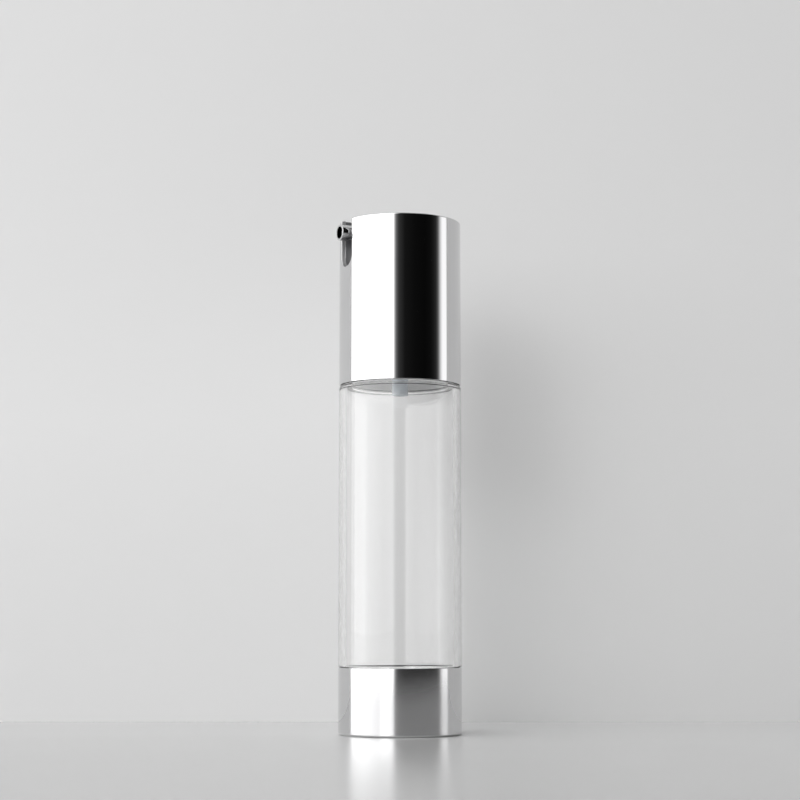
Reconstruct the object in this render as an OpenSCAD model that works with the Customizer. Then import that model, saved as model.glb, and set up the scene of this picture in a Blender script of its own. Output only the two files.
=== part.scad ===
// Airless pump bottle with a slotted collar and a short round spout.
// Origin at the centre of the base's underside, +Z up, spout towards -Y.

/* [Bottle] */
// Outer diameter of the collar, the tube and the base
body_d = 33; // [27:0.5:42]
// Height of the bright base
base_h = 17.7; // [16:0.1:30]
// Height of the clear stretch between the base and the collar
clear_h = 75.5; // [30:0.5:130]
// Height of the collar
collar_h = 44.5; // [44.5:0.5:70]
// Wall of the tube round the product chamber
tube_wall = 2; // [1.6:0.1:2.6]
// Wall of the tube's neck, inside the collar
neck_wall = 1.2; // [1:0.1:1.6]
// Height of the neck above the tube's shoulder
neck_h = 9.8; // [8:0.2:11]
// Thickness of the tube's shoulder under the neck
shoulder_t = 0.9; // [0.8:0.05:2]
// Radius of the rounded corner between the bore and the shoulder
bore_round = 0.3; // [0.2:0.1:1]

/* [Shells] */
// Wall of the collar's outer shell
shell_wall = 1.2; // [0.8:0.1:1.4]
// Wall of the liner round the button
liner_wall = 1.65; // [1.4:0.05:2]
// Wall of the liner's skirt round the neck
skirt_wall = 0.9; // [0.7:0.1:1.2]
// Wall of the base shell
base_wall = 0.8; // [0.6:0.1:1.1]
// Thickness of the base shell's floor
base_floor = 1.4; // [1:0.1:2]
// Radius of the rounded edge at the collar's rim
rim_round = 0.4; // [0.1:0.1:0.5]
// Radius of the rounded edge at the foot of the base
foot_round = 0.6; // [0.2:0.1:0.7]

/* [Spout] */
// Outer diameter of the spout
nozzle_d = 4.3; // [3.6:0.1:5.2]
// Bore of the spout at its tip
nozzle_bore_d = 3.3; // [2.4:0.1:3.4]
// How far the spout stands out of the collar
nozzle_reach = 1.9; // [1:0.1:4]
// Depth of the spout's top below the collar's rim
nozzle_cover = 1.75; // [1.75:0.05:3]
// Gap between the spout and each side of the slot
slot_side_gap = 0.85; // [0.4:0.05:1.5]

/* [Pump] */
// Travel of the button
stroke = 6; // [4:0.5:6.5]
// Bore of the pump cylinder
cylinder_bore_d = 8.4; // [7:0.2:9.6]
// Outer diameter of the stem
stem_d = 4; // [3.6:0.1:4.6]
// Diameter of the suction valve's ball
ball_d = 3; // [2.6:0.1:3.2]
// Height of the pump piston
piston_h = 3.6; // [3:0.2:4.4]
// How far the piston slips on the stem to open its ports
port_slip = 0.8; // [0.4:0.1:1]
// Outer diameter of the inlet stub
stub_d = 4.3; // [3.6:0.1:5.2]
// Length of the inlet stub below the carrier
stub_h = 2.85; // [2:0.05:4]
// Wire of the return spring
wire_d = 0.6; // [0.4:0.05:0.7]

/* [Hidden] */
$fn = 96;

// Clearances: a piece fixed in another, a running fit, and a free slide
fixed_gap = 0.05;
running_gap = 0.1;
slide_gap = 0.3;
// How far a cutter runs past the face that it cuts, and how deep joined shapes run into each other
past = 1;
bite = 0.1;
// Radii of the rounded edges: barely broken, small and soft
edge_round = 0.15;
small_round = 0.3;
soft_round = 0.4;

// Levels of the bottle
body_r = body_d / 2;
collar_z = base_h + clear_h;
top_z = collar_z + collar_h;
plug_flange_t = 2;
plug_ring_h = 3.6;
tube_foot_z = base_floor + plug_flange_t;
plug_top_z = tube_foot_z + plug_ring_h;
// The shoulder stays clear of the collar that hides it
shoulder_clear = 0.1;
shoulder_z = collar_z - shoulder_clear;
neck_top_z = collar_z + neck_h;
groove_h = 0.6;
groove_depth = 0.3;

// Radii of the bottle, from the outside in
bore_r = body_r - tube_wall;
spigot_r = body_r - base_wall - 2 * fixed_gap;
shell_in_r = body_r - shell_wall;
liner_r = shell_in_r - fixed_gap;
neck_r = liner_r - skirt_wall - running_gap;
neck_bore_r = neck_r - neck_wall;
liner_in_r = liner_r - liner_wall;

// Follower piston: lips at both ends and a raised deck that fits the neck
lip_gap = 0.05;
follower_z = plug_top_z + running_gap;
follower_span = 7.9;
follower_wall = 1.2;
deck_gap = 0.45;
deck_r = neck_bore_r - deck_gap;
deck_rise = 1.9;
recess_r = stub_d / 2 + deck_gap;
recess_h = stub_h + slide_gap + fixed_gap;

// Carrier of the pump in the neck, with a hollow under its floor
gasket_t = 0.8;
carrier_z = collar_z + running_gap + fixed_gap;
carrier_hollow = 1.9;
carrier_floor = 1.2;
carrier_wall = 1;
carrier_r = neck_bore_r - fixed_gap;
flange_z = neck_top_z + gasket_t;
flange_t = 1.5;
carrier_ribs = 6;
socket_h = 6;
pump_z = carrier_z + carrier_hollow + carrier_floor;

// Suction valve
stub_r = stub_d / 2;
inlet_bore_r = 1.1;
inlet_flange_r = 3.6;
inlet_flange_t = 1.2;
seat_z = pump_z + inlet_flange_t;
ball_r = ball_d / 2;
ball_lift = 0.6;
ball_gap = 0.03;
ball_z = seat_z + sqrt(ball_r * ball_r - inlet_bore_r * inlet_bore_r) + ball_gap;
cage_in_r = ball_r + slide_gap;
cage_wall = 0.7;
cage_roof_z = ball_z + ball_r + ball_lift + running_gap;
cage_top_z = cage_roof_z + cage_wall;

// Pump cylinder, piston and stem, from the floor up
chamber_r = cylinder_bore_d / 2;
cylinder_wall = 1.1;
cylinder_r = chamber_r + cylinder_wall;
foot_z = cage_top_z + slide_gap + stroke;
foot_flange_t = 1;
foot_r = stem_d / 2 + 1;
pin_r = 1.35;
piston_z = foot_z + foot_flange_t + fixed_gap;
stem_z = piston_z + piston_h + port_slip + running_gap;
pin_seat_h = 5;
cylinder_top_z = stem_z + slide_gap + fixed_gap;
chaplet_t = 1.5;
chaplet_skirt_h = 4;
chaplet_top_z = cylinder_top_z + chaplet_t;
stem_r = stem_d / 2;

// Button, from the rim down
button_sink = 0.4;
button_top_z = top_z - button_sink;
cap_r = liner_in_r - slide_gap;
cap_wall = 1.2;
cap_in_r = cap_r - cap_wall;
core_top_z = button_top_z - cap_wall - fixed_gap;
hub_r = 4.6;
hub_depth = 11.4;
hub_z = top_z - hub_depth;
socket_depth = 4.6;
stem_top_z = hub_z + socket_depth;
duct_r = 1.2;
nozzle_r = nozzle_d / 2;
nozzle_z = top_z - nozzle_cover - nozzle_r;
nozzle_root = hub_r + 2 * duct_r;
nozzle_tip = body_r + nozzle_reach;
boss_wall = 0.9;
boss_r = nozzle_r + fixed_gap + boss_wall;

// Slot in the collar: the spout's path with room to spare below it
slot_r = nozzle_r + slot_side_gap;
slot_spare = 0.95;
slot_floor_z = nozzle_z - nozzle_r - stroke - slot_spare;
skirt_cover = 7.2;
cap_skirt_z = slot_floor_z - skirt_cover;

// Return spring: as many curls as leave it unbound at full travel
spring_room = 1.3;
spring_r = stem_r + spring_room;
spring_h = hub_z - chaplet_top_z;
spare_curls = 3;
curls = floor((spring_h - stroke) / wire_d) - spare_curls;
curl_rings = 8;
wire_sides = 6;

// Ring between two radii and two levels
module ring(outer, inner, low, high) {
  difference() {
    translate([0, 0, low]) cylinder(r = outer, h = high - low);
    translate([0, 0, low - past]) cylinder(r = inner, h = high - low + 2 * past);
  }
}

// Rectangle of a turned profile, from one radius and level to another
module span(r0, r1, low, high) {
  translate([r0, low]) square([r1 - r0, high - low]);
}

// What a rounded corner takes off a profile. The corner is at (x, z), and side and
// end say which way the material's outside lies from it.
module corner(x, z, r, side, end) {
  translate([x - side * r, z - end * r])
    difference() {
      translate([side > 0 ? 0 : -r - past, end > 0 ? 0 : -r - past]) square(r + past);
      circle(r);
    }
}

// Profile of a seal's lip on a wall of radius r0. It ends at level z, is t high at its
// outer radius r1 and root high where it leaves the wall. Both are negative on an upper lip.
module seal_lip(r0, r1, z, t, root) {
  rim = [[r0 - bite, z], [r1, z], [r1, z + t], [r0 - bite, z + root]];
  polygon(t > 0 ? rim : [for (i = [3 : -1 : 0]) rim[i]]);
}

// U-shaped cutter for the spout's slot, open at the collar's rim
module slot_cutter() {
  translate([0, -liner_in_r + 2 * past, slot_floor_z + slot_r])
    rotate([90, 0, 0])
      linear_extrude(height = body_r)
        union() {
          circle(slot_r);
          translate([-slot_r, 0]) square([2 * slot_r, top_z]);
        }
}

// Cylinder along the spout's axis, from one distance to another from the bottle's axis
module along_spout(r, near, far) {
  translate([0, -near, nozzle_z]) rotate([90, 0, 0]) cylinder(r = r, h = far - near);
}

// Bright cup at the foot, with a flat underside and a vent beside its centre
module base_shell() color("silver") {
  vent_r = 1.5;
  vent_offset = 6;
  difference() {
    rotate_extrude()
      difference() {
        span(0, body_r, 0, base_h);
        span(-past, body_r - base_wall, base_floor, base_h + past);
        corner(body_r, 0, foot_round, 1, -1);
        corner(body_r, base_h, edge_round, 1, 1);
      }
    translate([0, vent_offset, -past]) cylinder(r = vent_r, h = base_floor + 2 * past);
  }
}

// Plug that closes the tube's foot and seals in its bore. Air comes in below the follower
// through its central vent, from the shallow relief that it has over the base's vent.
module base_plug() color("whitesmoke") {
  vent_r = 1.5;
  relief_r = 8.5;
  relief = 0.5;
  ring_wall = 1.2;
  ring_r = bore_r - running_gap;
  vent_rim = 1;
  rotate_extrude()
    union() {
      difference() {
        span(vent_r, spigot_r, base_floor, tube_foot_z);
        span(0, relief_r, base_floor - past, base_floor + relief);
      }
      difference() {
        span(ring_r - ring_wall, ring_r, tube_foot_z, plug_top_z);
        corner(ring_r, plug_top_z, soft_round, 1, 1);
      }
      span(vent_r, vent_r + ring_wall, tube_foot_z, tube_foot_z + vent_rim);
    }
}

// Clear body: spigot in the base, full wall between base and collar, neck in the collar
module clear_tube() color([0.93, 0.95, 0.96, 0.35]) {
  bore_top_z = collar_z - shoulder_t;
  rotate_extrude()
    difference() {
      union() {
        span(neck_bore_r, spigot_r, tube_foot_z, base_h + past);
        difference() {
          span(neck_bore_r, body_r, base_h + fixed_gap, shoulder_z - groove_h);
          corner(body_r, base_h + fixed_gap, soft_round, 1, -1);
          corner(body_r, shoulder_z - groove_h, edge_round, 1, 1);
        }
        span(neck_bore_r, body_r - groove_depth, shoulder_z - groove_h - past, shoulder_z);
        span(neck_bore_r, neck_r, shoulder_z - past, neck_top_z);
      }
      difference() {
        span(0, bore_r, tube_foot_z - past, bore_top_z);
        corner(bore_r, bore_top_z, bore_round, 1, 1);
      }
      corner(neck_r, neck_top_z, small_round, 1, 1);
      corner(neck_bore_r, neck_top_z, small_round, -1, 1);
    }
}

// Follower: skirt with a lip at each end, and a deck with a pocket for the inlet stub
module follower_piston() color("white") {
  lip_reach = 0.55;
  lip_r = bore_r - lip_gap;
  skirt_r = lip_r - lip_reach;
  lip_t = 0.6;
  lip_root = 1.6;
  low = follower_z;
  high = follower_z + follower_span;
  deck_z = high + deck_rise;
  rotate_extrude()
    difference() {
      union() {
        span(0, skirt_r, low, high);
        span(0, deck_r, high - follower_wall, deck_z);
        seal_lip(skirt_r, lip_r, low, lip_t, lip_root);
        seal_lip(skirt_r, lip_r, high, -lip_t, -lip_root);
      }
      span(-past, skirt_r - follower_wall, low - past, high - follower_wall - recess_h + deck_rise);
      span(
        recess_r + follower_wall, deck_r - follower_wall,
        low - past, deck_z - follower_wall
      );
      span(-past, recess_r, deck_z - recess_h, deck_z + past);
      corner(deck_r, deck_z, soft_round, 1, 1);
    }
}

// Bright sleeve of the head, with the spout's slot open at its rim
module collar_shell() color("silver") {
  difference() {
    rotate_extrude()
      difference() {
        span(shell_in_r, body_r, collar_z, top_z);
        corner(body_r, top_z, rim_round, 1, 1);
        corner(body_r, collar_z, edge_round, 1, -1);
      }
    slot_cutter();
  }
}

// Liner: skirt round the neck, step that holds the pump down, and guide round the button
module collar_liner() color("gainsboro") {
  step_z = flange_z + flange_t;
  liner_top_z = top_z - running_gap - fixed_gap;
  difference() {
    rotate_extrude()
      difference() {
        span(liner_in_r, liner_r, collar_z + running_gap, liner_top_z);
        span(0, neck_r + running_gap, collar_z, step_z);
        corner(liner_in_r, liner_top_z, small_round, -1, 1);
      }
    slot_cutter();
  }
}

// Flat sealing ring on the neck
module neck_gasket() color("lightgray")
  ring(neck_r - fixed_gap, carrier_r + running_gap, neck_top_z, flange_z);

// Carrier: disc over the product chamber, wall in the neck, flange on the gasket, ribbed socket
module pump_carrier() color("white") {
  socket_r = cylinder_r + fixed_gap + carrier_wall;
  rib_t = 1;
  rib_h = 4;
  rib_len = carrier_r - carrier_wall - socket_r + 2 * bite;
  difference() {
    union() {
      ring(carrier_r, stub_r + fixed_gap, pump_z - carrier_floor, pump_z);
      ring(carrier_r, carrier_r - carrier_wall, carrier_z, flange_z + flange_t);
      ring(neck_r - fixed_gap, carrier_r - carrier_wall, flange_z, flange_z + flange_t);
      ring(socket_r, cylinder_r + fixed_gap, pump_z - bite, pump_z + socket_h);
      for (i = [0 : carrier_ribs - 1])
        rotate([0, 0, i * 360 / carrier_ribs])
          translate([socket_r - bite, -rib_t / 2, pump_z - bite])
            cube([rib_len, rib_t, rib_h + bite]);
    }
    translate([0, 0, pump_z]) cylinder(r = cylinder_r + fixed_gap, h = socket_h + past);
  }
}

// Inlet stub with the valve seat on its flange
module inlet_tube() color("lightsteelblue")
  rotate_extrude()
    difference() {
      union() {
        span(inlet_bore_r, stub_r, carrier_z - stub_h, seat_z);
        span(inlet_bore_r, inlet_flange_r, pump_z, seat_z);
      }
      corner(stub_r, carrier_z - stub_h, edge_round, 1, -1);
    }

// Suction valve's ball on its seat
module inlet_ball() color("silver")
  translate([0, 0, ball_z]) sphere(r = ball_r);

// Cup over the ball, with flow holes in its roof
module ball_cage() color("ivory") {
  holes = 4;
  hole_r = 0.45;
  hole_pitch_r = cage_in_r - hole_r - bite;
  difference() {
    translate([0, 0, seat_z]) cylinder(r = cage_in_r + cage_wall, h = cage_top_z - seat_z);
    translate([0, 0, seat_z - past]) cylinder(r = cage_in_r, h = cage_roof_z - seat_z + past);
    for (i = [0 : holes - 1])
      rotate([0, 0, i * 360 / holes])
        translate([hole_pitch_r, 0, cage_roof_z - past])
          cylinder(r = hole_r, h = cage_wall + 2 * past);
  }
}

// Dosing chamber with the pocket for the inlet's flange under its floor
module pump_cylinder() color("ivory") {
  floor_t = 1.2;
  rotate_extrude()
    difference() {
      span(0, cylinder_r, pump_z, cylinder_top_z);
      span(-past, inlet_flange_r + fixed_gap, pump_z - past, seat_z);
      span(-past, cage_in_r + cage_wall + fixed_gap, seat_z - past, seat_z + floor_t + past);
      span(-past, chamber_r, seat_z + floor_t, cylinder_top_z + past);
      corner(cylinder_r, cylinder_top_z, small_round, 1, 1);
    }
}

// Cap of the cylinder: guide for the stem, seat and centring ring for the spring
module chaplet() color("whitesmoke") {
  chaplet_wall = 0.85;
  chaplet_r = cylinder_r + fixed_gap + chaplet_wall;
  guide_r = stem_r + running_gap;
  centring_wall = 0.45;
  centring_h = 1;
  rotate_extrude()
    difference() {
      union() {
        span(guide_r, chaplet_r, cylinder_top_z - chaplet_skirt_h, chaplet_top_z);
        span(guide_r, guide_r + centring_wall, chaplet_top_z, chaplet_top_z + centring_h);
      }
      span(0, cylinder_r + fixed_gap, cylinder_top_z - chaplet_skirt_h - past, cylinder_top_z);
      corner(chaplet_r, chaplet_top_z, soft_round, 1, 1);
    }
}

// Helix of the spring: centre of the wire at a given turn, and the way that it runs there
spring_low = chaplet_top_z + wire_d / 2 + fixed_gap;
spring_rise = spring_h - wire_d - 2 * fixed_gap;
function curl_point(t) =
  [spring_r * cos(360 * t), spring_r * sin(360 * t), spring_low + spring_rise * t / curls];
function curl_way(t) = [-sin(360 * t), cos(360 * t), 0];
// Rings of the wire: one straight wire's width out at each end, then the curls
spring_path = [
  for (i = [-1 : curls * curl_rings + 1])
    let (t = min(max(i, 0), curls * curl_rings) / curl_rings)
      [t, curl_point(t) + (i < 0 ? -wire_d : i > curls * curl_rings ? wire_d : 0) * curl_way(t)]
];
spring_gap = min([
  for (i = [0 : curl_rings : (curls - 1) * curl_rings])
    norm(spring_path[i + curl_rings + 1][1] - spring_path[i + 1][1]) - wire_d
]);
echo(spring_curls = curls, spring_least_gap = spring_gap);

// Steel coil spring as one unbroken helical tube
module return_spring() color("lightslategray") {
  rings = len(spring_path);
  points = [
    for (p = spring_path)
      for (k = [0 : wire_sides - 1])
        let (
          u = 360 * k / wire_sides,
          out = wire_d / 2 * cos(u),
          up = wire_d / 2 * sin(u)
        )
          p[1] + [out * cos(360 * p[0]), out * sin(360 * p[0]), up]
  ];
  sides = [
    for (i = [0 : rings - 2])
      for (k = [0 : wire_sides - 1])
        let (
          a = i * wire_sides + k,
          b = i * wire_sides + (k + 1) % wire_sides
        )
          each [[a, a + wire_sides, b], [b, a + wire_sides, b + wire_sides]]
  ];
  start_cap = [for (k = [1 : wire_sides - 2]) [0, k, k + 1]];
  last = (rings - 1) * wire_sides;
  end_cap = [for (k = [1 : wire_sides - 2]) [last, last + k + 1, last + k]];
  polyhedron(points = points, faces = concat(sides, start_cap, end_cap));
}

// Sliding seal: sleeve on the pin, web, and an outer wall with a lip at each end
module pump_piston() color("white") {
  wall = 0.7;
  web = 1;
  lip_reach = 0.2;
  lip_t = 0.4;
  lip_root = 1;
  sleeve_r = pin_r + running_gap + wall;
  lip_r = chamber_r - lip_gap;
  wall_r = lip_r - lip_reach;
  low = piston_z;
  high = piston_z + piston_h;
  rotate_extrude()
    union() {
      span(pin_r + running_gap, sleeve_r, low, high);
      span(sleeve_r - bite, wall_r, (low + high - web) / 2, (low + high + web) / 2);
      span(wall_r - wall, wall_r, low, high);
      seal_lip(wall_r, lip_r, low, lip_t, lip_root);
      seal_lip(wall_r, lip_r, high, -lip_t, -lip_root);
    }
}

// Fluted pin under the stem: its flange lifts the piston, its flutes carry the dose
module stem_foot() color("ivory") {
  flutes = 4;
  flute_w = 0.7;
  flute_depth = 0.45;
  pin_top_z = stem_z + pin_seat_h - running_gap;
  difference() {
    union() {
      translate([0, 0, foot_z]) cylinder(r = foot_r, h = foot_flange_t);
      translate([0, 0, foot_z]) cylinder(r = pin_r, h = pin_top_z - foot_z);
    }
    for (i = [0 : flutes - 1])
      rotate([0, 0, i * 360 / flutes])
        translate([pin_r - flute_depth, -flute_w / 2, foot_z + foot_flange_t])
          cube([past, flute_w, pin_top_z]);
  }
}

// Hollow stem, with a wider seat for the pin at its foot
module stem() color("ivory") {
  bore = duct_r - 0.1;
  rotate_extrude()
    difference() {
      span(bore, stem_r, stem_z, stem_top_z);
      span(0, pin_r + fixed_gap, stem_z - past, stem_z + pin_seat_h);
      corner(stem_r, stem_top_z, small_round, 1, 1);
    }
}

// Moulding in the button: hub for the stem, duct to the spout, boss and ribs to the cap
module actuator_core() color("gainsboro") {
  rib_t = 1.2;
  rib_rise = 3;
  rib_z = hub_z + rib_rise;
  reach = cap_in_r - fixed_gap;
  difference() {
    union() {
      translate([0, 0, hub_z]) cylinder(r = hub_r, h = core_top_z - hub_z);
      intersection() {
        along_spout(boss_r, 0, reach);
        translate([0, 0, hub_z]) cylinder(r = reach, h = core_top_z - hub_z);
      }
      for (a = [0, 90, 180])
        rotate([0, 0, a])
          translate([0, -rib_t / 2, rib_z])
            cube([reach - bite, rib_t, core_top_z - rib_z]);
    }
    translate([0, 0, hub_z - past])
      cylinder(r = stem_r + fixed_gap, h = stem_top_z + fixed_gap - hub_z + past);
    translate([0, 0, stem_top_z]) cylinder(r = duct_r, h = nozzle_z - stem_top_z);
    along_spout(duct_r, 0, nozzle_root + past);
    along_spout(nozzle_r + fixed_gap, nozzle_root, reach + past);
  }
}

// Bright button: top with a shallow dish for the finger, skirt, and the spout's hole
module button_cap() color("silver") {
  dish_r = cap_in_r - cap_wall;
  dish_depth = 0.45;
  dish_steps = 8;
  rim_edge = 0.5;
  // The dish's depth falls with the square of the radius
  dish = [
    for (i = [0 : dish_steps])
      let (k = i / dish_steps)
        [k * dish_r, button_top_z - dish_depth * (1 - k * k)]
  ];
  difference() {
    rotate_extrude()
      difference() {
        span(0, cap_r, cap_skirt_z, button_top_z);
        span(-past, cap_in_r, cap_skirt_z - past, button_top_z - cap_wall);
        polygon(concat(dish, [[dish_r, button_top_z + past], [0, button_top_z + past]]));
        corner(cap_r, button_top_z, rim_edge, 1, 1);
      }
    along_spout(nozzle_r + fixed_gap, cap_in_r - past, cap_r + past);
  }
}

// Spout: round tube pressed into the core's boss, wider in its last stretch
module nozzle() color("silver") {
  wide_len = 6;
  length = nozzle_tip - nozzle_root;
  translate([0, -nozzle_root, nozzle_z])
    rotate([90, 0, 0])
      rotate_extrude()
        difference() {
          span(duct_r, nozzle_r, 0, length);
          span(0, nozzle_bore_d / 2, length - wide_len, length + past);
          corner(nozzle_r, length, edge_round, 1, 1);
          corner(nozzle_bore_d / 2, length, edge_round, -1, 1);
        }
}

base_shell();
base_plug();
clear_tube();
follower_piston();
collar_shell();
collar_liner();
neck_gasket();
pump_carrier();
inlet_tube();
inlet_ball();
ball_cage();
pump_cylinder();
chaplet();
return_spring();
pump_piston();
stem_foot();
stem();
actuator_core();
button_cap();
nozzle();
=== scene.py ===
import math

import bpy
import numpy as np
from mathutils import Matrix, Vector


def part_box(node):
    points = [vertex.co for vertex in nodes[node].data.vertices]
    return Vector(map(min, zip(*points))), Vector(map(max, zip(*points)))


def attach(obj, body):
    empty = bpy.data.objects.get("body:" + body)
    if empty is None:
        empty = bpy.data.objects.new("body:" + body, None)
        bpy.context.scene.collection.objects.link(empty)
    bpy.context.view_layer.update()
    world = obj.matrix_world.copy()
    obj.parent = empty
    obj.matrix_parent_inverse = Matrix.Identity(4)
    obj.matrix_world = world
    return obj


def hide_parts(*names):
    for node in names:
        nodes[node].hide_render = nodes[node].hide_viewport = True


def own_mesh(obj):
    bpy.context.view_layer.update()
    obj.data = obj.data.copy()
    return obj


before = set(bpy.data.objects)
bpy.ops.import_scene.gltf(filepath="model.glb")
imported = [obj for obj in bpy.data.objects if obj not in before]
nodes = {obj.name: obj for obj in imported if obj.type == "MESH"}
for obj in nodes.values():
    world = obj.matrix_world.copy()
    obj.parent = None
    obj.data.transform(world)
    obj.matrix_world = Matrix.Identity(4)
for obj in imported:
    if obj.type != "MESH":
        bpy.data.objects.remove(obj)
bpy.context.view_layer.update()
scene = bpy.context.scene
scene.view_settings.view_transform = "Standard"

# Camera: a long lens, level with the lower third of the tube and tilted up a little. It looks at the
# bottle from the spout's left, so the spout stands out on the left of the picture.
camera_turn = math.radians(62.3)
camera_tilt = math.radians(6.44)
camera_away, camera_height = 0.5187, 0.03086
toward = np.array([math.sin(camera_turn), -math.cos(camera_turn), 0])
rightward = np.array([math.cos(camera_turn), math.sin(camera_turn), 0])
lens = bpy.data.cameras.new("camera")
lens.sensor_width = 36
lens.lens = 86.7
lens.clip_start = 0.02
camera = bpy.data.objects.new("camera", lens)
camera.location = (*(camera_away * toward)[:2], camera_height)
camera.rotation_euler = (math.pi / 2 + camera_tilt, 0, camera_turn)
scene.collection.objects.link(camera)
scene.camera = camera

# Studio light: a wide white screen on the left, a dark opening in front, and a narrow white screen on
# the right, which the polished shells show as upright bands. A large soft light hangs higher up on the
# left, with a round lamp at its foot, under a pale ceiling.


def shader_tree(tree):
    """Clears a node tree. Returns a function that adds one node, with its inputs set or linked."""
    tree.nodes.clear()

    def add(kind, inputs=(), **settings):
        node = tree.nodes.new("ShaderNode" + kind)
        for key, value in settings.items():
            setattr(node, key, value)
        for key, value in dict(inputs).items():
            if isinstance(value, bpy.types.NodeSocket):
                tree.links.new(value, node.inputs[key])
            else:
                node.inputs[key].default_value = value
        return node

    return add


def grey(value):
    return (value, value, value, 1)


def set_stops(ramp, stops):
    """Gives a colour ramp its stops, each a place from 0 to 1 and a grey."""
    elements = ramp.color_ramp.elements
    while len(elements) > 1:
        elements.remove(elements[-1])
    elements[0].position = stops[0][0]
    elements[0].color = grey(stops[0][1])
    for place, value in stops[1:]:
        elements.new(place).color = grey(value)


# Brightness by the angle round the bottle, in degrees from the camera, with the left side negative. The
# low light is what the upright mirrors and the tube show. The high light falls on the wall and table.
low_light = [
    (-180, 0.53), (-105.4, 0.80), (-103.8, 1.00), (-102.0, 2.80), (-64, 2.80), (-50, 2.40), (-34, 2.00),
    (-14, 2.40), (-11.6, 1.35), (-10.1, 0.76), (-8.5, 0.366), (-6.9, 0.183), (-3.4, 0.064), (0, 0.036),
    (9, 0.010), (28, 0.005), (48, 0.0035), (60, 0.006), (66, 0.013), (72, 0.03), (76.4, 0.12),
    (78.8, 0.34), (84, 1.06), (88, 1.42), (97, 1.42), (101, 0.56), (180, 0.56),
]
high_light = [
    (-180, 0.50), (-107, 0.50), (-98, 1.80), (-50, 1.80), (-38, 3.00), (-22, 3.00), (0, 0.03),
    (48, 0.01), (80, 0.01), (104, 0.50), (180, 0.50),
]
ceiling_light, lamp_light, seen_behind = 0.8, 3.4, 0.66
lamp_turn, lamp_rise = math.radians(-28), math.radians(19)
lamp_inner, lamp_outer = math.radians(8), math.radians(10)
world = bpy.data.worlds.new("studio")
world.use_nodes = True
scene.world = world
add = shader_tree(world.node_tree)
heading = add("TexCoord").outputs["Generated"]
turned_heading = add("Mapping", {"Vector": heading, "Rotation": (0, 0, math.pi / 2 - camera_turn)})
axes = add("SeparateXYZ", {0: turned_heading.outputs[0]}).outputs
angle = add("Math", {0: axes["Y"], 1: axes["X"]}, operation="ARCTAN2").outputs[0]
share = add("Math", {0: angle, 1: 1 / math.tau, 2: 0.5}, operation="MULTIPLY_ADD").outputs[0]
bands = []
for by_angle in (low_light, high_light):
    bands.append(add("ValToRGB", {"Fac": share}))
    set_stops(bands[-1], [((degrees + 180) / 360, value) for degrees, value in by_angle])
higher, overhead = [
    add("MapRange", {"Value": axes["Z"], "From Min": low, "From Max": high}, interpolation_type="SMOOTHSTEP")
    for low, high in ((0.30, 0.48), (0.84, 0.93))
]
around = add("MixRGB", {"Fac": higher.outputs[0], 1: bands[0].outputs[0], 2: bands[1].outputs[0]})
screens = add("MixRGB", {"Fac": overhead.outputs[0], 1: around.outputs[0], 2: grey(ceiling_light)})
lamp_way = (
    math.cos(lamp_rise) * math.cos(lamp_turn), math.cos(lamp_rise) * math.sin(lamp_turn),
    math.sin(lamp_rise),
)
facing = add("VectorMath", {0: turned_heading.outputs[0], 1: lamp_way}, operation="DOT_PRODUCT")
lamp = add(
    "MapRange",
    {
        "Value": facing.outputs["Value"],
        "From Min": math.cos(lamp_outer),
        "From Max": math.cos(lamp_inner),
        "To Max": lamp_light,
    },
)
with_lamp = add("MixRGB", {"Fac": 1, 1: screens.outputs[0], 2: lamp.outputs[0]}, blend_type="ADD")
lit = add("Background", {"Color": with_lamp.outputs[0]})
seen = add("Background", {"Color": grey(seen_behind)})
by_ray = add(
    "MixShader",
    {0: add("LightPath").outputs["Is Camera Ray"], 1: lit.outputs[0], 2: seen.outputs[0]},
)
add("OutputWorld", {"Surface": by_ray.outputs[0]})

# Set: a pale satin table and a matt wall close behind the bottle. Painted shade makes the table darker
# towards the camera, and the wall darker towards its foot and its right. The wall is seen from its front
# only. Meshes are in millimetres, places in materials in metres.


def new_mesh(name, points, faces):
    """An object with a mesh of numpy points, in millimetres, and faces of three or four points."""
    mesh = bpy.data.meshes.new(name)
    mesh.from_pydata(points * 0.001, [], faces)
    made = bpy.data.objects.new(name, mesh)
    scene.collection.objects.link(made)
    return made


def flat_grid(name, origin, side, up, columns, rows):
    """A rectangle of rows by columns faces: origin + u * side + v * up, with u and v from 0 to 1."""
    u, v = np.meshgrid(np.linspace(0, 1, columns + 1), np.linspace(0, 1, rows + 1))
    points = np.array(origin) + u[..., None] * np.array(side) + v[..., None] * np.array(up)
    index = np.arange(u.size).reshape(u.shape)
    faces = np.stack([index[:-1, :-1], index[:-1, 1:], index[1:, 1:], index[1:, :-1]], -1)
    return new_mesh(name, points.reshape(-1, 3), faces.reshape(-1, 4).tolist())


def new_material(name):
    """A new material, and the function that adds nodes to it."""
    made = bpy.data.materials.new(name)
    made.use_nodes = True
    return made, shader_tree(made.node_tree)


def grey_tint(value):
    """The grey colour that a value's socket gives, in the material that is being made."""
    return add("CombineColor", {0: value, 1: value, 2: value}).outputs[0]


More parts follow.
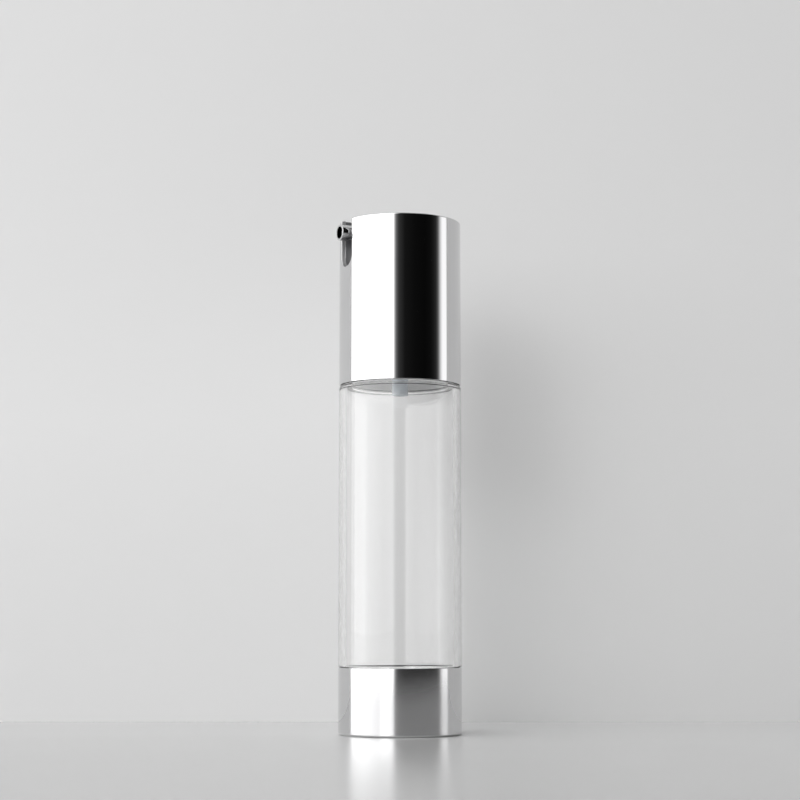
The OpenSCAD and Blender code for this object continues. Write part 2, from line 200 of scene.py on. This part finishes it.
# The worn patches stay under a roughness of 0.27: above it the render's denoiser takes the table for a
# matt surface, and the duller patches show as bright spots
table_paint, add = new_material("table_paint")
where = add("TexCoord").outputs["Object"]
mottle = add("TexNoise", {"Vector": where, "Scale": 9, "Detail": 3})
worn = add("MapRange", {"Value": mottle.outputs[0], "To Min": 0.24, "To Max": 0.27})
away = add("VectorMath", {0: where}, operation="LENGTH").outputs["Value"]
table_rough = add(
    "MapRange",
    {"Value": away, "From Min": 0.2, "From Max": 0.6, "To Min": worn.outputs[0], "To Max": 0.05},
)
# Painted shade: the table's colour falls from 0.62 at the bottle to 0.30 towards the camera
nearer = add("VectorMath", {0: where, 1: tuple(toward)}, operation="DOT_PRODUCT").outputs["Value"]
painted_table_shade = add("MapRange", {"Value": nearer, "From Max": 0.65, "To Min": 0.62, "To Max": 0.30})
table_coat = add(
    "BsdfPrincipled",
    {
        "Base Color": grey_tint(painted_table_shade.outputs[0]),
        "Roughness": table_rough.outputs[0],
        "IOR": 1.45,
        "Coat Weight": 0.3,
        "Coat Roughness": 0.25,
    },
)
add("OutputMaterial", {"Surface": table_coat.outputs[0]})
table_half = 3000
table = flat_grid(
    "table", (-table_half, -table_half, 0), (2 * table_half, 0, 0), (0, 2 * table_half, 0),
    columns=12, rows=12,
)
table.data.materials.append(table_paint)

wall_behind, wall_left, wall_right, wall_height = 62, 235, 400, 500
wall_foot = -wall_behind * toward
wall_paint, add = new_material("wall_paint")
where = add("TexCoord").outputs["Object"]
along = add("VectorMath", {0: where, 1: tuple(rightward)}, operation="DOT_PRODUCT").outputs["Value"]
# Painted shade: the wall's colour falls from 0.92 on its left to 0.80 on its right, and to 0.87 times that
# at its foot
across = add(
    "MapRange", {"Value": along, "From Min": -0.12, "From Max": 0.12, "To Min": 0.92, "To Max": 0.80},
)
above_table = add("SeparateXYZ", {0: where}).outputs["Z"]
painted_foot_shade = add("MapRange", {"Value": above_table, "From Max": 0.09, "To Min": 0.87, "To Max": 1})
painted_wall_shade = add("Math", {0: across.outputs[0], 1: painted_foot_shade.outputs[0]}, operation="MULTIPLY")
wall_coat = add(
    "BsdfPrincipled",
    {"Base Color": grey_tint(painted_wall_shade.outputs[0]), "Roughness": 0.8, "Specular IOR Level": 0.2},
)
open_back = add(
    "MixShader",
    {
        0: add("NewGeometry").outputs["Backfacing"],
        1: wall_coat.outputs[0],
        2: add("BsdfTransparent").outputs[0],
    },
)
add("OutputMaterial", {"Surface": open_back.outputs[0]})
wall = flat_grid(
    "wall", wall_foot - wall_left * rightward, (wall_left + wall_right) * rightward, (0, 0, wall_height),
    columns=20, rows=12,
)
wall.data.materials.append(wall_paint)

# Base: a deep-drawn metal cup, polished and lacquered, with a flat underside and a drilled vent. It is
# pressed over the plug in the tube's foot.
body_r, base_h = 16.5, 17.7
base_in_r, base_floor_z = 15.7, 1.4
vent_r, vent_y = 1.5, 6
guard = 0.05


def outline(corners, steps=6):
    """Closed profile of (radius, level) points. A corner is (radius, level, rounding). A rounding becomes
    an arc of that many steps between its tangent points: middle + (sin((1 - t) * sweep) * first +
    sin(t * sweep) * last) / sin(sweep), with t from 0 to 1. A point a guard's width outside each of its
    ends keeps the face beside it flat."""
    corner = np.array([c[:2] for c in corners], float)
    rounding = [c[2] if len(c) > 2 else 0 for c in corners]
    points = []
    for i, r in enumerate(rounding):
        here, before, after = corner[i], corner[i - 1], corner[(i + 1) % len(corner)]
        if r == 0:
            points.append(here)
            continue
        a, b = before - here, after - here
        a, b = a / np.linalg.norm(a), b / np.linalg.norm(b)
        half = math.acos(np.clip(a @ b, -1, 1)) / 2
        reach = r / math.tan(half)
        middle = here + (a + b) / np.linalg.norm(a + b) * r / math.sin(half)
        start, end = here + a * reach, here + b * reach
        first, last = start - middle, end - middle
        sweep = math.pi - 2 * half
        points.append(start + a * guard)
        for k in range(steps + 1):
            t = k / steps
            arc = (math.sin((1 - t) * sweep) * first + math.sin(t * sweep) * last) / math.sin(sweep)
            points.append(middle + arc)
        points.append(end + b * guard)
    return np.array(points)


def turned(profile, columns=192):
    """Points and faces of a closed profile turned round the axis: (r cos a, r sin a, z)."""
    a = np.arange(columns) * math.tau / columns
    r, z = profile[:, :1], profile[:, 1:]
    points = np.stack([r * np.cos(a), r * np.sin(a), z + 0 * a], -1)
    index = np.arange(points.shape[0] * columns).reshape(-1, columns)
    on, up = np.roll(index, -1, 1), np.roll(index, -1, 0)
    faces = np.stack([index, on, np.roll(up, -1, 1), up], -1)
    return points.reshape(-1, 3), faces.reshape(-1, 4)


def bake_shape(made):
    """Makes the modifiers' result the object's own mesh, smooth but for its edges over 35 degrees."""
    graph = bpy.context.evaluated_depsgraph_get()
    old = made.data
    new = bpy.data.meshes.new_from_object(made.evaluated_get(graph))
    made.modifiers.clear()
    made.data = new
    new.name = made.name
    bpy.data.meshes.remove(old)
    new.shade_smooth()
    new.set_sharp_from_angle(angle=math.radians(35))


def solid(name, points, faces, finish, slot, body, stands_for):
    """A closed piece in place of a CAD node, with doubled points merged and its faces outward. The sum of
    a · (b × c) over its triangles is six times its volume, and negative where they face inward."""
    a, b, c, d = np.moveaxis(points[faces], 1, 0)
    if (a * (np.cross(b, c) + np.cross(c, d))).sum() < 0:
        faces = faces[:, ::-1]
    made = new_mesh(name, points, faces.tolist())
    weld = made.modifiers.new("weld", "WELD")
    weld.merge_threshold = 1e-6
    bake_shape(made)
    made.data.materials.append(finish)
    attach(made, body)
    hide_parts(stands_for)
    return made


# Mirror finish of the plated and polished shells: faint drawing lines run round the piece, and wiping
# leaves slightly duller patches
mirror_finish, add = new_material("mirror_finish")
where = add("TexCoord").outputs["Object"]
smudges = add("TexNoise", {"Vector": where, "Scale": 90, "Detail": 4, "Roughness": 0.6})
stretched = add("Mapping", {"Vector": where, "Scale": (20, 20, 9000)})
lines = add("TexNoise", {"Vector": stretched.outputs[0], "Scale": 1, "Detail": 2})
dullness = add("Math", {0: smudges.outputs[0], 1: lines.outputs[0]}, operation="MULTIPLY")
polish = add("MapRange", {"Value": dullness.outputs[0], "To Min": 0.02, "To Max": 0.09})
ripple = add("Bump", {"Height": lines.outputs[0], "Strength": 0.02, "Distance": 0.00001})
plating = add(
    "BsdfPrincipled",
    {
        "Base Color": (0.67, 0.67, 0.675, 1),
        "Metallic": 1,
        "Roughness": polish.outputs[0],
        "Normal": ripple.outputs[0],
    },
)
add("OutputMaterial", {"Surface": plating.outputs[0]})

base_profile = outline([
    (0, 0), (body_r, 0, 0.6), (body_r, base_h, 0.15), (base_in_r, base_h, 0.1),
    (base_in_r, base_floor_z, 0.2), (0, base_floor_z),
])
base = solid(
    "base_shell_cup", *turned(base_profile, 256), mirror_finish, "bright_metal", "bottle", "base_shell",
)


def rod(radius, low, high, columns):
    """Points and faces of a plain upright cylinder, to drill with."""
    return turned(outline([(0, low), (radius, low), (radius, high), (0, high)]), columns)


def drill(made, points, faces):
    """Cuts a closed tool's volume out of a piece."""
    tool = new_mesh(made.name + "_tool", points, faces.tolist())
    cut = made.modifiers.new("cut", "BOOLEAN")
    cut.object = tool
    cut.operation = "DIFFERENCE"
    cut.solver = "EXACT"
    bake_shape(made)
    bpy.data.objects.remove(tool)


tool_points, tool_faces = rod(vent_r, low=-1, high=3, columns=48)
drill(base, tool_points + (0, vent_y, 0), tool_faces)

# Base plug: white moulded disc that closes the tube's foot and stands on the base's floor. Its ring seals
# in the bore, and the base is pressed over its edge. A small hole in a boss lets air in under the follower.
plug_z, tube_foot_z, ring_top_z = base_floor_z, 3.4, 7.0
spigot_r, ring_r, ring_in_r = 15.6, 14.4, 13.2
boss_r, boss_top_z, air_hole_r = 2.7, 4.4, 1.5
recess_r, recess_z = 8.5, 1.9
moulded_white, add = new_material("moulded_white")
where = add("TexCoord").outputs["Object"]
grain = add("TexNoise", {"Vector": where, "Scale": 2600, "Detail": 3})
flow = add("TexNoise", {"Vector": where, "Scale": 120, "Detail": 2, "Distortion": 1.5})
tone = add("MapRange", {"Value": flow.outputs[0], "To Min": 0.80, "To Max": 0.88})
sheen = add("MapRange", {"Value": grain.outputs[0], "To Min": 0.28, "To Max": 0.42})
pits = add("Bump", {"Height": grain.outputs[0], "Strength": 0.15, "Distance": 0.00003})
plastic = add(
    "BsdfPrincipled",
    {
        "Base Color": grey_tint(tone.outputs[0]),
        "Roughness": sheen.outputs[0],
        "Normal": pits.outputs[0],
        "IOR": 1.5,
    },
)
add("OutputMaterial", {"Surface": plastic.outputs[0]})
plug_profile = outline([
    (recess_r, plug_z), (spigot_r, plug_z, 0.1), (spigot_r, tube_foot_z, 0.1), (ring_r, tube_foot_z),
    (ring_r, ring_top_z, 0.4), (ring_in_r, ring_top_z, 0.2), (ring_in_r, tube_foot_z, 0.2),
    (boss_r, tube_foot_z, 0.1), (boss_r, boss_top_z, 0.1), (air_hole_r, boss_top_z, 0.1),
    (air_hole_r, recess_z, 0.1), (recess_r, recess_z, 0.1),
])
solid("base_plug_disc", *turned(plug_profile), moulded_white, "white_plastic", "bottle", "base_plug")

# Tube: clear moulded body with a thick wall. Its spigot stands in the base, and its neck goes up into the
# collar. The bore's top corner is round. Shadow rays go straight through it, which makes its shadow pale.
bore_r, bore_top_z = 14.5, 92.3
neck_r, neck_bore_r, neck_top_z = 14.25, 13.05, 103.0
body_foot_z, body_top_z = base_h + 0.05, 92.5
step_r, shoulder_z = 16.2, 93.1
clear_plastic, add = new_material("clear_plastic")
where = add("TexCoord").outputs["Object"]
haze = add("TexNoise", {"Vector": where, "Scale": 60, "Detail": 3})
haze_rough = add("MapRange", {"Value": haze.outputs[0], "To Max": 0.006})
clear = add(
    "BsdfPrincipled",
    {
        "Base Color": grey(0.998),
        "Roughness": haze_rough.outputs[0],
        "Transmission Weight": 1,
        "IOR": 1.49,
    },
)
passing = add("BsdfTransparent", {"Color": (0.95, 0.955, 0.955, 1)})
pale_shadow = add(
    "MixShader",
    {0: add("LightPath").outputs["Is Shadow Ray"], 1: clear.outputs[0], 2: passing.outputs[0]},
)
add("OutputMaterial", {"Surface": pale_shadow.outputs[0]})
tube_profile = outline([
    (spigot_r, tube_foot_z, 0.1), (spigot_r, body_foot_z, 0.05), (body_r, body_foot_z, 0.4),
    (body_r, body_top_z, 0.15), (step_r, body_top_z, 0.05), (step_r, shoulder_z, 0.1),
    (neck_r, shoulder_z, 0.1), (neck_r, neck_top_z, 0.3), (neck_bore_r, neck_top_z, 0.3),
    (neck_bore_r, bore_top_z, 0.1), (bore_r, bore_top_z, 0.3), (bore_r, tube_foot_z, 0.1),
], steps=8)
solid("clear_tube_body", *turned(tube_profile, 256), clear_plastic, "clear_plastic", "bottle", "clear_tube")

# Follower piston: white moulding that stands in the base when the bottle is full. Its lips scrape the
# bore, and its deck has a pocket for the inlet stub.
follower_low, follower_high, deck_z = 7.1, 15.0, 16.9
lip_r, waist_r, skirt_in_r = 14.45, 13.9, 12.7
lip_edge, lip_reach = 0.6, 1.6
deck_r, pocket_r, pocket_z, deck_wall = 12.6, 2.6, 13.7, 1.2
deck_in_r, pocket_out_r = deck_r - deck_wall, pocket_r + deck_wall
deck_in_z, pocket_foot_z = deck_z - deck_wall, pocket_z - deck_wall
follower_profile = outline([
    (skirt_in_r, follower_low, 0.1), (lip_r, follower_low, 0.1), (lip_r, follower_low + lip_edge, 0.1),
    (waist_r, follower_low + lip_reach, 0.3), (waist_r, follower_high - lip_reach, 0.3),
    (lip_r, follower_high - lip_edge, 0.1), (lip_r, follower_high, 0.1), (deck_r, follower_high, 0.1),
    (deck_r, deck_z, 0.4), (pocket_r, deck_z, 0.2), (pocket_r, pocket_z, 0.2), (0, pocket_z),
    (0, pocket_foot_z), (pocket_out_r, pocket_foot_z, 0.2), (pocket_out_r, deck_in_z, 0.2),
    (deck_in_r, deck_in_z, 0.2), (deck_in_r, pocket_foot_z, 0.2), (skirt_in_r, pocket_foot_z, 0.1),
])
solid(
    "follower_disc", *turned(follower_profile), moulded_white, "white_plastic", "follower",
    "follower_piston",
)

# Collar: polished metal sleeve of the head, over the liner. The spout's slot is cut down from its rim
# after polishing, so the cut faces are duller bare metal, and its edges are lightly broken.
collar_z, top_z = 93.2, 137.7
collar_in_r, rim_in_r = 15.3, 15.4
foot_round, rim_round = 0.15, 0.4
slot_half, slot_mid = 3.0, 127.7
slot_floor = slot_mid - slot_half
collar_lips = (0.12, 0.03)


def slotted(outer, inner, lips, guard=0.04):
    """Points and faces of a sleeve with a U-shaped slot from its rim, on the side of -Y. outer and inner
    are its (radius, level) points from the foot up. At level z the slot's half width is slot_half, or
    below its middle sqrt(slot_half² - (slot_mid - z)²). A row runs from one edge of the slot round the
    back to the other: angle = edge + s * (whole turn - 2 * edge). Within a lip's width of the slot, one
    width outside and one inside, the surface is drawn in by lip * (1 - sqrt(1 - (1 - distance / lip)²)), a
    quarter round. The flat rim and the slot's cut faces have a line of points a guard's width from each
    edge, which keeps them flat."""
    beside = np.array([0, 0.03, 0.06, 0.12, 0.25, 0.5, 1, 1.8, 2.8, 4, 5.5]) / (math.tau * body_r)
    s = np.concatenate([beside, np.linspace(beside[-1], 1 - beside[-1], 180)[1:-1], 1 - beside[::-1]])

    def side(line, lip, way):
        r, z = line[:, :1], line[:, 1:]
        below = np.maximum(slot_mid - z, 0)
        wide = np.sqrt(np.maximum(slot_half**2 - below**2, 0))
        edge = np.arcsin(wide / r)
        a = edge + s * (math.tau - 2 * edge)
        sideways = np.where(np.cos(a) > 0, np.abs(r * np.sin(a)), r)
        distance = np.hypot(sideways, below) - slot_half
        q = np.clip(1 - distance / lip, 0, 1)
        drawn = r - way * lip * (1 - np.sqrt(np.maximum(1 - q**2, 0)))
        return np.stack([drawn * np.sin(a), -drawn * np.cos(a), z + 0 * a], -1)

    def guards(a, b):
        step = guard * (b - a) / np.linalg.norm(b - a, axis=-1, keepdims=True)
        return np.stack([a + step, b - step])

    front, back = side(outer, lips[0], 1), side(inner[::-1], lips[1], -1)
    rows = np.concatenate([front, guards(front[-1], back[0]), back])
    index = np.arange(rows.shape[0] * len(s)).reshape(-1, len(s))
    up = np.roll(index, -1, 0)
    faces = [np.stack([index[:, :-1], index[:, 1:], up[:, 1:], up[:, :-1]], -1).reshape(-1, 4)]
    points = [rows.reshape(-1, 3)]
    cut = np.flatnonzero(outer[:, 1] > slot_floor - 1e-6)
    facing = len(rows) - 1 - cut
    for column, order in ((0, 1), (len(s) - 1, -1)):
        first = sum(map(len, points))
        points.append(guards(rows[cut, column], rows[facing, column]).reshape(-1, 3))
        across = np.concatenate([
            [index[cut, column]], first + np.arange(2 * len(cut)).reshape(2, -1), [index[facing, column]],
        ])
        strip = np.stack([across[:-1, :-1], across[:-1, 1:], across[1:, 1:], across[1:, :-1]], -1)
        faces.append(strip.reshape(-1, 4)[:, ::order])
    return np.concatenate(points), np.concatenate(faces)


def straight(radius, levels):
    return np.column_stack([np.full(len(levels), radius), levels])


def quarter(radius, level, r, start, end, steps=6):
    """Arc of a rounded corner: centre + r * (cos, sin) from one angle to another, in degrees."""
    a = np.radians(np.linspace(start, end, steps + 1))
    return np.column_stack([radius + r * np.cos(a), level + r * np.sin(a)])


# Levels of the rows beside the slot: close under its floor, by angle round its foot, and up its sides
slot_levels = np.concatenate([
    slot_floor - collar_lips[0] * np.array([2, 1, 0.5, 0.25]),
    slot_mid - slot_half * np.cos(np.radians([0, 3, 6, 10, 15, 22, 30, 40, 50, 60, 70, 80, 90])),
    [130, 133, 136],
])
collar_outer = np.concatenate([
    quarter(body_r - foot_round, collar_z + foot_round, foot_round, -90, 0),
    straight(body_r, [collar_z + foot_round + guard, 100, 110, 120]),
    straight(body_r, slot_levels),
    straight(body_r, [top_z - rim_round - guard]),
    quarter(body_r - rim_round, top_z - rim_round, rim_round, 0, 90),
])
collar_inner = straight(collar_in_r, collar_outer[:, 1])
collar_inner[-1] = (rim_in_r, top_z)
collar = solid(
    "collar_sleeve", *slotted(collar_outer, collar_inner, collar_lips), mirror_finish, "bright_metal",
    "head", "collar_shell",
)
cut_edge, add = new_material("cut_edge")
where = add("TexCoord").outputs["Object"]
scratches = add("TexNoise", {"Vector": where, "Scale": 3000, "Detail": 3})
cut_rough = add("MapRange", {"Value": scratches.outputs[0], "To Min": 0.5, "To Max": 0.65})
bare_metal = add(
    "BsdfPrincipled",
    {"Base Color": (0.62, 0.62, 0.625, 1), "Metallic": 1, "Roughness": cut_rough.outputs[0]},
)
add("OutputMaterial", {"Surface": bare_metal.outputs[0]})
collar.data.materials.append(cut_edge)
for face in collar.data.polygons:
    x, y, z = face.center * 1000
    if y < 0 and z > slot_floor - 0.01 and math.hypot(x, min(z - slot_mid, 0)) < slot_half + 0.005:
        face.material_index = 1

# Liner: grey moulding that is pressed into the collar. Its skirt takes the neck and its upper part guides
# the button. Its cut edge shows in the slot.
liner_z, ledge_z, liner_top_z = 93.3, 105.3, top_z - 0.15
liner_r, liner_skirt_r, guide_r = 15.25, 14.35, 13.6
liner_round = 0.3
liner_lips = (0.03, 0.06)
grey_plastic, add = new_material("grey_plastic")
where = add("TexCoord").outputs["Object"]
grain = add("TexNoise", {"Vector": where, "Scale": 1500, "Detail": 3})
patch = add("TexNoise", {"Vector": where, "Scale": 150, "Detail": 2})
polish = add("MapRange", {"Value": patch.outputs[0], "To Min": 0.30, "To Max": 0.40})
patch_tint = add("MixRGB", {0: patch.outputs[0], 1: (0.13, 0.13, 0.135, 1), 2: (0.18, 0.18, 0.185, 1)})
pits = add("Bump", {"Height": grain.outputs[0], "Strength": 0.05, "Distance": 0.00002})
moulding = add(
    "BsdfPrincipled",
    {
        "Base Color": patch_tint.outputs[0],
        "Roughness": polish.outputs[0],
        "Normal": pits.outputs[0],
        "IOR": 1.5,
    },
)
add("OutputMaterial", {"Surface": moulding.outputs[0]})
skirt_levels = [liner_z, liner_z + guard, ledge_z - 0.1, ledge_z]
liner_rim = np.concatenate([
    straight(guide_r, [liner_top_z - liner_round - guard]),
    quarter(guide_r + liner_round, liner_top_z - liner_round, liner_round, 180, 90),
])
liner_inner = np.concatenate([
    straight(liner_skirt_r, skirt_levels),
    straight(guide_r, [ledge_z, ledge_z + guard, 115]),
    straight(guide_r, slot_levels),
    liner_rim,
])
liner_outer = straight(liner_r, np.concatenate([skirt_levels, [115], slot_levels, liner_rim[:, 1]]))
solid(
    "collar_liner_sleeve", *slotted(liner_outer, liner_inner, liner_lips), grey_plastic, "grey_plastic",
    "head", "collar_liner",
)

# Gasket: flat ring of pale closed-cell foam, cut from sheet. It lies on the neck's rim, and the carrier's
# flange presses it down.
gasket_in_r, gasket_r, gasket_top_z = 13.1, 14.2, 103.8
gasket_foam, add = new_material("gasket_foam")
where = add("TexCoord").outputs["Object"]
cells = add("TexVoronoi", {"Vector": where, "Scale": 5000})
cell_tone = add("MapRange", {"Value": cells.outputs["Distance"], "To Min": 0.66, "To Max": 0.80})
cell_bump = add("Bump", {"Height": cells.outputs["Distance"], "Strength": 0.4, "Distance": 0.00005})
foam = add(
    "BsdfPrincipled",
    {
        "Base Color": grey_tint(cell_tone.outputs[0]),
        "Roughness": 0.8,
        "Normal": cell_bump.outputs[0],
    },
)
add("OutputMaterial", {"Surface": foam.outputs[0]})
gasket_profile = outline([
    (gasket_in_r, neck_top_z, 0.1), (gasket_r, neck_top_z, 0.1), (gasket_r, gasket_top_z, 0.1),
    (gasket_in_r, gasket_top_z, 0.1),
])
solid("neck_gasket_ring", *turned(gasket_profile), gasket_foam, "gasket_foam", "head", "neck_gasket")

# Carrier: white moulded cup that hangs in the neck by its flange and holds the pump. It keeps the frame's
# shape, and its hollow underside shows through the tube.


def paint(names, finish):
    """Gives CAD nodes a material in place of their plain one."""
    for name in names:
        materials = nodes[name].data.materials
        materials.clear()
        materials.append(finish)


paint(["pump_carrier"], moulded_white)

# Inlet: bluish moulded stub, pressed into the carrier's underside. It keeps the frame's shape and is seen
# at the top of the tube.
blue_plastic, add = new_material("blue_plastic")
where = add("TexCoord").outputs["Object"]
cloud = add("TexNoise", {"Vector": where, "Scale": 700, "Detail": 2})
cloud_tint = add("MixRGB", {0: cloud.outputs[0], 1: (0.77, 0.82, 0.87, 1), 2: (0.84, 0.89, 0.94, 1)})
gloss = add("MapRange", {"Value": cloud.outputs[0], "To Min": 0.2, "To Max": 0.3})
blue = add(
    "BsdfPrincipled",
    {"Base Color": cloud_tint.outputs[0], "Roughness": gloss.outputs[0], "IOR": 1.5},
)
add("OutputMaterial", {"Surface": blue.outputs[0]})
paint(["inlet_tube"], blue_plastic)

# Pump inside the carrier: milky mouldings for the cylinder, the ball's cage, the stem and its foot, and
# white ones for the chaplet and the piston. All keep the frame's shapes.
milky_plastic, add = new_material("milky_plastic")
where = add("TexCoord").outputs["Object"]
cloud = add("TexNoise", {"Vector": where, "Scale": 300, "Detail": 2})
cloud_tone = add("MapRange", {"Value": cloud.outputs[0], "To Min": 0.76, "To Max": 0.86})
gloss = add("MapRange", {"Value": cloud.outputs[0], "To Min": 0.25, "To Max": 0.38})
milk = add(
    "BsdfPrincipled",
    {
        "Base Color": grey_tint(cloud_tone.outputs[0]),
        "Roughness": gloss.outputs[0],
        "Transmission Weight": 0.25,
        "IOR": 1.5,
    },
)
add("OutputMaterial", {"Surface": milk.outputs[0]})
paint(["ball_cage", "pump_cylinder", "stem", "stem_foot"], milky_plastic)
paint(["chaplet", "pump_piston"], moulded_white)

# Spring: wound steel wire between the chaplet and the button's core, built at one length. The real one
# shortens as the button goes down.
# The wire's middle line is (spring_r cos a, spring_r sin a, z), where z climbs evenly with the angle a.
spring_low, spring_high = [corner.z * 1000 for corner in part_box("return_spring")]
spring_r, wire_r, curls = 3.3, 0.3, 5
steel_wire, add = new_material("steel_wire")
where = add("TexCoord").outputs["Object"]
drawn_marks = add("TexNoise", {"Vector": where, "Scale": 4000, "Detail": 2})
wire_rough = add("MapRange", {"Value": drawn_marks.outputs[0], "To Min": 0.15, "To Max": 0.3})
steel = add(
    "BsdfPrincipled",
    {"Base Color": (0.58, 0.58, 0.60, 1), "Metallic": 1, "Roughness": wire_rough.outputs[0]},
)
add("OutputMaterial", {"Surface": steel.outputs[0]})
turns = np.linspace(0, 1, curls * 36 + 1)
a = turns * curls * math.tau
round_wire = np.arange(10) * math.tau / 10
middle_z = spring_low + wire_r + (spring_high - spring_low - 2 * wire_r) * turns
out = spring_r + wire_r * np.cos(round_wire)[None, :]
wire_points = np.stack([
    out * np.cos(a)[:, None], out * np.sin(a)[:, None],
    middle_z[:, None] + wire_r * np.sin(round_wire)[None, :],
], -1)
index = np.arange(wire_points[..., 0].size).reshape(len(turns), -1)
on = np.roll(index, -1, 1)
wire_faces = np.stack([index[:-1], on[:-1], on[1:], index[1:]], -1).reshape(-1, 4)
wire_ends = np.array([[0, k, k - 1, k - 2] for k in (9, 7, 5, 3)])
wire_faces = np.concatenate([wire_faces, wire_ends, index[-1, 0] + wire_ends[:, ::-1]])
spring = solid(
    "return_spring_coil", wire_points.reshape(-1, 3), wire_faces, steel_wire, "steel", "head",
    "return_spring",
)
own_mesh(spring)

# Valve ball: polished steel, loose on its seat over the inlet and under the cage. It keeps the frame's
# shape.
paint(["inlet_ball"], steel_wire)

# Button: plated cap with a shallow dish for the finger, drilled for the spout. It is pressed over a grey
# moulding with the spout's duct. The dish's level is cap_high - dish_depth * (1 - (r / dish_r)²).
cap_r, cap_in_r, cap_low, cap_high, cap_in_z = 13.3, 12.1, 117.5, 137.3, 136.1
dish_r, dish_depth = 10.9, 0.45
spout_hole_r, spout_z = 2.2, 133.8


def along_spout(points):
    """Turns points from the upright axis to the spout's axis: (x, y, z) becomes (x, -z, y + spout_z)."""
    return np.column_stack([points[:, 0], -points[:, 2], points[:, 1] + spout_z])


dish_share = np.linspace(0, 1, 24)
dish = np.column_stack([dish_r * dish_share, cap_high - dish_depth * (1 - dish_share**2)])
cap_sides = outline([
    (cap_r, cap_high, 0.5), (cap_r, cap_low, 0.2), (cap_in_r, cap_low, 0.2), (cap_in_r, cap_in_z, 0.2),
    (0, cap_in_z),
])
cap = solid(
    "button_cap_top", *turned(np.concatenate([dish, cap_sides]), 256), mirror_finish, "bright_metal",
    "button", "button_cap",
)
tool_points, tool_faces = rod(spout_hole_r, low=10, high=15, columns=64)
drill(cap, along_spout(tool_points), tool_faces)
paint(["actuator_core"], grey_plastic)

# Spout: short plated tube, pressed into the core through the cap's hole. It has a thin wall at its mouth
# and a narrower bore behind.
spout_r, mouth_r, duct_r = 2.15, 1.65, 1.2
spout_start, duct_end, spout_end = 7.0, 12.4, 18.4
spout_profile = outline([
    (duct_r, spout_start, 0.1), (spout_r, spout_start, 0.1), (spout_r, spout_end, 0.12),
    (mouth_r, spout_end, 0.05), (mouth_r, duct_end, 0.1), (duct_r, duct_end, 0.1),
])
spout_points, spout_faces = turned(spout_profile, 96)
solid(
    "spout_tube", along_spout(spout_points), spout_faces, mirror_finish, "bright_metal", "button",
    "nozzle",
)
